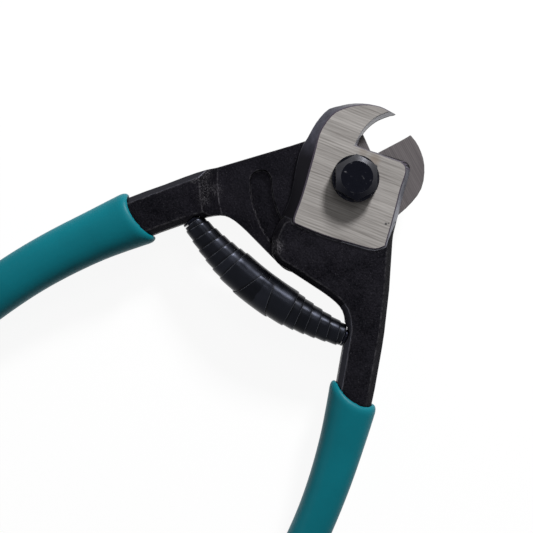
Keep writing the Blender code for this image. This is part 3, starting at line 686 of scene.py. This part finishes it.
blade_ground = ground_steel(
    "ground_blade_steel", "#b3afac", "#6a6663", 19, 0.0, 0.5, BLADE_PITCH, lined=0.2, marks=PAD_MARKS
)
edge_ground = ground_steel("honed_edge_steel", "#a5a5aa", "#76767d", 60, 0.5, 0.35)
front_forged = forged_black("front_forged_black_oxide", LIP_RUBS, "#1c1b20")
finishes = [front_forged, blade_ground, blued, jaw_ground_painted_shade, edge_ground, side_blued, rim_blued, chamfer_painted_sheen]
front = dress_arm("front_forged_arm", "front_arm", 1, finishes, bulge_hook)
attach(front, "front_arm")


# Pivot bolt, washer and nut
# A cold-headed hexagon bolt with a round collar, and its washer and nut on the back. They are
# black oxide steel, rubbed at the rims by the spanner. The chamfer of the bolt's head is lighter
# towards the lamps, partly wear and partly painted highlight.
HARDWARE_EDGE = 0.15 * MM


def black_oxide():
    """Machined steel, hot blued: smooth and blue-black, with rubbed rims and short scratches
    about 1.5 mm long, and a chamfer on the bolt's head lighter towards the lamps, partly wear
    and partly painted highlight."""
    made = bpy.data.materials.new("black_oxide_turned_steel")
    tree = new_tree(made)
    place = add_node(tree, "ShaderNodeTexCoord")
    at = {"Vector": place.outputs["Object"]}
    rub = add_node(tree, "ShaderNodeTexNoise", None, at, {"Scale": 650, "Detail": 6, "Roughness": 0.7})
    edge_wear_and_highlight = add_node(tree, "ShaderNodeAttribute", {"attribute_name": "edge_wear_and_highlight"})
    rim = add_node(
        tree,
        "ShaderNodeMapRange",
        None,
        {"Value": rub.outputs["Fac"]},
        {"From Min": 0.45, "From Max": 0.70, "To Max": 0.7},
    )
    rim_worn = add_node(
        tree, "ShaderNodeMath", {"operation": "MULTIPLY"}, {0: edge_wear_and_highlight.outputs["Fac"], 1: rim.outputs[0]}
    )
    scratches = add_node(
        tree,
        "ShaderNodeMapRange",
        None,
        {"Value": rub.outputs["Fac"]},
        {"From Min": 0.62, "From Max": 0.76, "To Max": 0.5},
    )
    worn = add_node(
        tree, "ShaderNodeMath", {"operation": "MAXIMUM"}, {0: rim_worn.outputs[0], 1: scratches.outputs[0]}
    )
    chamfer = add_node(tree, "ShaderNodeAttribute", {"attribute_name": "rub_and_highlight"})
    worn = add_node(
        tree, "ShaderNodeMath", {"operation": "MAXIMUM"}, {0: worn.outputs[0], 1: chamfer.outputs["Fac"]}
    )
    colour = add_node(
        tree,
        "ShaderNodeMix",
        {"data_type": "RGBA"},
        {0: worn.outputs[0]},
        {6: linear("#101118"), 7: linear("#8a8a8e")},
    )
    rough = add_node(
        tree,
        "ShaderNodeMapRange",
        None,
        {"Value": rub.outputs["Fac"]},
        {"From Min": 0.3, "From Max": 0.7, "To Min": 0.20, "To Max": 0.36},
    )
    bump = add_node(
        tree, "ShaderNodeBump", None, {"Height": rub.outputs["Fac"]}, {"Strength": 0.25, "Distance": 0.0001}
    )
    shader = add_node(
        tree,
        "ShaderNodeBsdfPrincipled",
        None,
        {"Base Color": colour.outputs[2], "Roughness": rough.outputs[0], "Normal": bump.outputs["Normal"]},
        {"Metallic": 0.9, "Specular IOR Level": 0.1},
    )
    add_node(tree, "ShaderNodeOutputMaterial", None, {"Surface": shader.outputs[0]})
    return made


HEAD_DEPTH = 2.0 * MM
HEAD_CHAMFER = (0.6, 0.97)
# Heading of the painted highlight on the bolt's chamfer, towards the lamps, and its strength
HIGHLIGHT_HEADING = 118
CHAMFER_HIGHLIGHT_SHARE = 0.2


def paint_chamfer_highlight(bm):
    """Marks the chamfer of the bolt's head for a lighter colour, strongest on the side towards the lamps:
    partly wear and partly painted highlight.
    """
    layer = bm.loops.layers.float.new("rub_and_highlight")
    top = max(vert.co.z for vert in bm.verts)
    for face in bm.faces:
        middle = face.calc_center_median()
        if HEAD_CHAMFER[0] < face.normal.z < HEAD_CHAMFER[1] and middle.z > top - HEAD_DEPTH:
            for corner in face.loops:
                away = math.atan2(corner.vert.co.y, corner.vert.co.x) - math.radians(HIGHLIGHT_HEADING)
                corner[layer] = CHAMFER_HIGHLIGHT_SHARE * (0.5 + 0.5 * math.cos(away))


oxide = black_oxide()
for name, node in (("bolt", "pivot_bolt"), ("washer", "pivot_washer"), ("nut", "pivot_nut")):
    bm = merged_copy(node)
    join_flat(bm)
    soften(bm, HARDWARE_EDGE)
    if name == "bolt":
        paint_chamfer_highlight(bm)
    piece = finish_piece(name, bm, [oxide], [node])
    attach(piece, "rear_arm")


# Stop pin and spring seats
# The pin is turned from plain steel and pressed into the front arm. The seats are turned pegs
# with a collar, black like the bolt, pressed into the necks.
pin_steel = ground_steel("turned_pin_steel", "#b0aeac", "#8a8886", 0, 0.9, 0.35)
for node, finish in (("front_spring_seat", oxide), ("rear_spring_seat", oxide), ("stop_pin", pin_steel)):
    frame["nodes"][node].data.materials.clear()
    frame["nodes"][node].data.materials.append(finish)


# Volute spring
# One forked strip of spring steel, hardened, oil-blacked and a little glossy. Its two arms are
# joined at the outermost turn and wind inwards into two cones, whose turns telescope.
REAR_END = Vector((-28.44 * MM, -40.68 * MM, 0))
FRONT_END = Vector((27.60 * MM, -37.56 * MM, 0))
HALF_ANGLE = math.radians(15.5)
WIDE_RADIUS = 6.15 * MM
SMALL_RADIUS = 3.2 * MM
TURNS = 7.4
CLOSED_TURNS = 0.8
END_HEADING = math.radians(127)
ARM_WIDTH = 10.4 * MM
STRIP_THICKNESS = 0.22 * MM
STRIP_EDGE = 0.09 * MM
STRIP_BOW = 0.07 * MM
BOW_WIDTH = 1.8 * MM
STEP_SHADE_WIDTH = 0.6 * MM
JOINED_TURNS = 0.85
OUTER_EDGE = ((0.0, 2.3 * MM), (0.35, 5.8 * MM), (JOINED_TURNS, 10.4 * MM), (1.35, 11.2 * MM))
STRIP_SIDES = 48
STRIP_LANES = 18
UNCOVERED = -1.0

chord = (FRONT_END - REAR_END).normalized()
upwards = Vector((-chord.y, chord.x, 0))
arc_radius = (FRONT_END - REAR_END).length / 2 / math.sin(HALF_ANGLE)
arc_centre = (FRONT_END + REAR_END) / 2 + arc_radius * math.cos(HALF_ANGLE) * upwards
edge_steps = OUTER_EDGE + ((TURNS - CLOSED_TURNS, arc_radius * HALF_ANGLE),)


def outer_edge(turns):
    """How far the strip's outer edge lies from the spring's middle."""
    for (start, low), (end, high) in zip(edge_steps, edge_steps[1:]):
        if turns <= end:
            return low + (high - low) * (turns - start) / (end - start)
    return edge_steps[-1][1]


def rolled(turns, along, sunk):
    """A point of the strip on the spring's bowed axis, sunk a little at the strip's edge."""
    spoke = WIDE_RADIUS - (WIDE_RADIUS - SMALL_RADIUS) * turns / TURNS - sunk
    around = END_HEADING - 2 * math.pi * turns
    reach = arc_radius + spoke * math.cos(around)
    place = along / arc_radius
    across = math.sin(place) * chord - math.cos(place) * upwards
    return arc_centre + reach * across + Vector((0, 0, LAP_Z + spoke * math.sin(around)))


def spring_steel():
    """Cold-rolled spring strip, hardened and blacked in oil: smooth, blue-black and glossy, each
    turn a little lighter or darker than the next, with grey edges that are partly rubbed and
    partly painted highlight, and painted shade where each turn lies under the edge of the next."""
    made = bpy.data.materials.new("oil_blacked_spring_steel")
    tree = new_tree(made)
    place = add_node(tree, "ShaderNodeTexCoord")
    at = {"Vector": place.outputs["Object"]}
    cloud = add_node(tree, "ShaderNodeTexNoise", None, at, {"Scale": 260, "Detail": 4, "Roughness": 0.6})
    winding = add_node(tree, "ShaderNodeAttribute", {"attribute_name": "winding"})
    by_turn = add_node(
        tree,
        "ShaderNodeTexNoise",
        {"noise_dimensions": "1D"},
        {"W": winding.outputs["Fac"]},
        {"Scale": 1.7, "Detail": 1},
    )
    tint = add_node(
        tree,
        "ShaderNodeMapRange",
        None,
        {"Value": by_turn.outputs["Fac"]},
        {"From Min": 0.3, "From Max": 0.7},
    )
    tone = add_node(
        tree, "ShaderNodeMix", {"data_type": "FLOAT"}, {2: tint.outputs[0], 3: cloud.outputs["Fac"]}, {0: 0.4}
    )
    fine = add_node(tree, "ShaderNodeTexNoise", None, at, {"Scale": 1500, "Detail": 3, "Roughness": 0.7})
    base = add_node(
        tree,
        "ShaderNodeMix",
        {"data_type": "RGBA"},
        {0: tone.outputs[0]},
        {6: linear("#020307"), 7: linear("#1b1d24")},
    )
    # The rims take a lighter grey, partly wear and partly a painted highlight on the edges of the turns
    edge_wear_and_highlight = add_node(tree, "ShaderNodeAttribute", {"attribute_name": "edge_wear_and_highlight"})
    rub_and_highlight = add_node(
        tree,
        "ShaderNodeMix",
        {"data_type": "RGBA"},
        {0: edge_wear_and_highlight.outputs["Fac"], 6: base.outputs[2]},
        {7: linear("#4b4d54")},
    )
    # Painted shade beside the edge of the turn that covers the strip
    corner = add_node(tree, "ShaderNodeAttribute", {"attribute_name": "corner"})
    colour = add_node(
        tree,
        "ShaderNodeMix",
        {"data_type": "RGBA"},
        {0: corner.outputs["Fac"], 6: rub_and_highlight.outputs[2]},
        {7: linear("#020203")},
    )
    rough = add_node(
        tree,
        "ShaderNodeMapRange",
        None,
        {"Value": cloud.outputs["Fac"]},
        {"From Min": 0.3, "From Max": 0.7, "To Min": 0.20, "To Max": 0.36},
    )
    bump = add_node(
        tree, "ShaderNodeBump", None, {"Height": fine.outputs["Fac"]}, {"Strength": 0.08, "Distance": 0.00005}
    )
    shader = add_node(
        tree,
        "ShaderNodeBsdfPrincipled",
        None,
        {"Base Color": colour.outputs[2], "Roughness": rough.outputs[0], "Normal": bump.outputs["Normal"]},
        {"Metallic": 0.85, "Specular IOR Level": 0.3},
    )
    add_node(tree, "ShaderNodeOutputMaterial", None, {"Surface": shader.outputs[0]})
    return made


bm = bmesh.new()
layer = bm.verts.layers.float.new("telescope")
# The corner layer holds painted shade, where a turn lies under the edge of the next
corner = bm.verts.layers.float.new("corner")
winding = bm.verts.layers.float.new("winding")
for side in (-1, 1):
    blank = bmesh.ops.create_grid(bm, x_segments=int(TURNS * STRIP_SIDES), y_segments=STRIP_LANES, size=0.5)
    for vert in blank["verts"]:
        turns = TURNS * (vert.co.x + 0.5)
        outer = outer_edge(turns)
        inner = max(outer - ARM_WIDTH, 0.0)
        along = inner + (outer - inner) * (vert.co.y + 0.5)
        share = (turns - JOINED_TURNS) / (TURNS - CLOSED_TURNS - JOINED_TURNS)
        vert[layer] = 0.5 + side * 0.5 * min(max(share, 0.0), 1.0)
        edge = max(1 - (outer - along) / BOW_WIDTH, 0.0)
        # Painted shade: where the turn above ends, the strip beneath it is darkest
        covered = outer_edge(turns - 1) if turns > 1 else UNCOVERED
        vert[winding] = side * turns
        vert[corner] = min(max(1 - abs(along - covered) / STEP_SHADE_WIDTH, 0.0), 1.0)
        vert.co = rolled(turns, side * along, STRIP_BOW * edge * edge)
bmesh.ops.remove_doubles(bm, verts=bm.verts, dist=WELD)
bmesh.ops.recalc_face_normals(bm, faces=bm.faces)
bmesh.ops.solidify(bm, geom=bm.faces[:], thickness=STRIP_THICKNESS)
soften(bm, STRIP_EDGE)
spring = finish_piece("rolled_spring", bm, [spring_steel()], ["volute_spring"])
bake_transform(spring, "rear_arm", "front_arm", start=tuple(REAR_END), end=tuple(FRONT_END))
# Each turn follows the arms by its place in the winding, so that it keeps its width
weights = [item.value for item in spring.data.attributes["telescope"].data]
spring.data.attributes["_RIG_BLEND"].data.foreach_set("value", weights)


# Grips
# Soft PVC sleeves, made by dipping the hot handles. The dip leaves a satin skin, a domed end
# and a thick rounded lip at the mouth, and the sleeve clings to the handle.
GRIP_LEVELS = 1
RIM_ANGLE = 30
WALL = 1.8 * MM
WALL_SIDE = -1.0
SKIN_GRID = 0.4 * MM
SKIN_ROUNDS = 14
SKIN_FLOW = 0.5
JOINED_FACES = 20
JOINED_SHAPES = 60
UNBROKEN = 180
LIP_REACH = 14 * MM
LIPS = {"front": (0.5 * MM, -0.6 * MM), "rear": (0.75 * MM, 0.1 * MM)}
LIP_ROUND = 1.4 * MM
LIP_STEPS = 3


def keep_outside(bm):
    """Keeps only the sleeve's outside, from the domed end to the rim at its mouth."""
    kept = {max(bm.faces, key=lambda face: face.calc_center_median().length)}
    waiting = list(kept)
    while waiting:
        for edge in waiting.pop().edges:
            if edge.calc_face_angle(0.0) < math.radians(RIM_ANGLE):
                found = [face for face in edge.link_faces if face not in kept]
                kept.update(found)
                waiting.extend(found)
    bmesh.ops.delete(bm, geom=[face for face in bm.faces if face not in kept], context="FACES")


def swell_lip(bm, flare, push):
    """Swells the sleeve towards its mouth, into the thick lip that the dip leaves there."""
    rim = [vert.co.copy() for vert in bm.verts if vert.is_boundary]
    middle = sum(rim, Vector()) / len(rim)
    near = [vert.co for vert in bm.verts if (vert.co - middle).length < LIP_REACH]
    heading = (middle - sum(near, Vector()) / len(near)).normalized()
    for vert in bm.verts:
        away = min((vert.co - place).length for place in rim)
        share = max(1 - away / LIP_REACH, 0.0)
        outward = vert.co - middle
        outward -= outward.dot(heading) * heading
        vert.co += share * flare * outward.normalized() + share * share * push * heading
    for step in range(LIP_STEPS):
        start = math.radians(90 * step / LIP_STEPS)
        end = math.radians(90 * (step + 1) / LIP_STEPS)
        grown = bmesh.ops.extrude_edge_only(bm, edges=[edge for edge in bm.edges if edge.is_boundary])
        for vert in [item for item in grown["geom"] if isinstance(item, bmesh.types.BMVert)]:
            inward = middle - vert.co
            inward -= inward.dot(heading) * heading
            vert.co += LIP_ROUND * (math.sin(end) - math.sin(start)) * heading
            vert.co += LIP_ROUND * (math.cos(start) - math.cos(end)) * inward.normalized()


def dipped_vinyl():
    """Plasticised PVC, dipped: even teal with a satin skin, faint clouds of 17 mm and an
    orange peel of 1.3 mm."""
    made = bpy.data.materials.new("dipped_pvc")
    tree = new_tree(made)
    place = add_node(tree, "ShaderNodeTexCoord")
    at = {"Vector": place.outputs["Object"]}
    peel = add_node(tree, "ShaderNodeTexNoise", None, at, {"Scale": 800, "Detail": 2, "Roughness": 0.5})
    cloud = add_node(tree, "ShaderNodeTexNoise", None, at, {"Scale": 60, "Detail": 3, "Roughness": 0.5})
    colour = add_node(
        tree,
        "ShaderNodeMix",
        {"data_type": "RGBA"},
        {0: cloud.outputs["Fac"]},
        {6: linear("#075b66"), 7: linear("#0a7481")},
    )
    bump = add_node(
        tree, "ShaderNodeBump", None, {"Height": peel.outputs["Fac"]}, {"Strength": 0.08, "Distance": 0.0002}
    )
    shader = add_node(
        tree,
        "ShaderNodeBsdfPrincipled",
        None,
        {"Base Color": colour.outputs[2], "Normal": bump.outputs["Normal"]},
        {"Roughness": 0.42, "Specular IOR Level": 0.11},
    )
    add_node(tree, "ShaderNodeOutputMaterial", None, {"Surface": shader.outputs[0]})
    return made


vinyl = dipped_vinyl()
for side in ("front", "rear"):
    bm = merged_copy(side + "_grip")
    keep_outside(bm)
    swell_lip(bm, *LIPS[side])
    bmesh.ops.join_triangles(
        bm,
        faces=bm.faces,
        angle_face_threshold=math.radians(JOINED_FACES),
        angle_shape_threshold=math.radians(JOINED_SHAPES),
    )
    node = side + "_grip"
    sleeve = finish_piece(side + "_dipped_grip", bm, [vinyl], [node], UNBROKEN, flatten=False)
    form = sleeve.modifiers.new("round_section", "SUBSURF")
    form.levels = GRIP_LEVELS
    form.render_levels = GRIP_LEVELS
    wall = sleeve.modifiers.new("wall", "SOLIDIFY")
    wall.thickness = WALL
    wall.offset = WALL_SIDE
    skin = sleeve.modifiers.new("even_skin", "REMESH")
    skin.mode = "VOXEL"
    skin.voxel_size = SKIN_GRID
    skin.use_smooth_shade = True
    flow = sleeve.modifiers.new("dip_runs_round_the_edges", "SMOOTH")
    flow.factor = SKIN_FLOW
    flow.iterations = SKIN_ROUNDS
    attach(sleeve, side + "_arm")
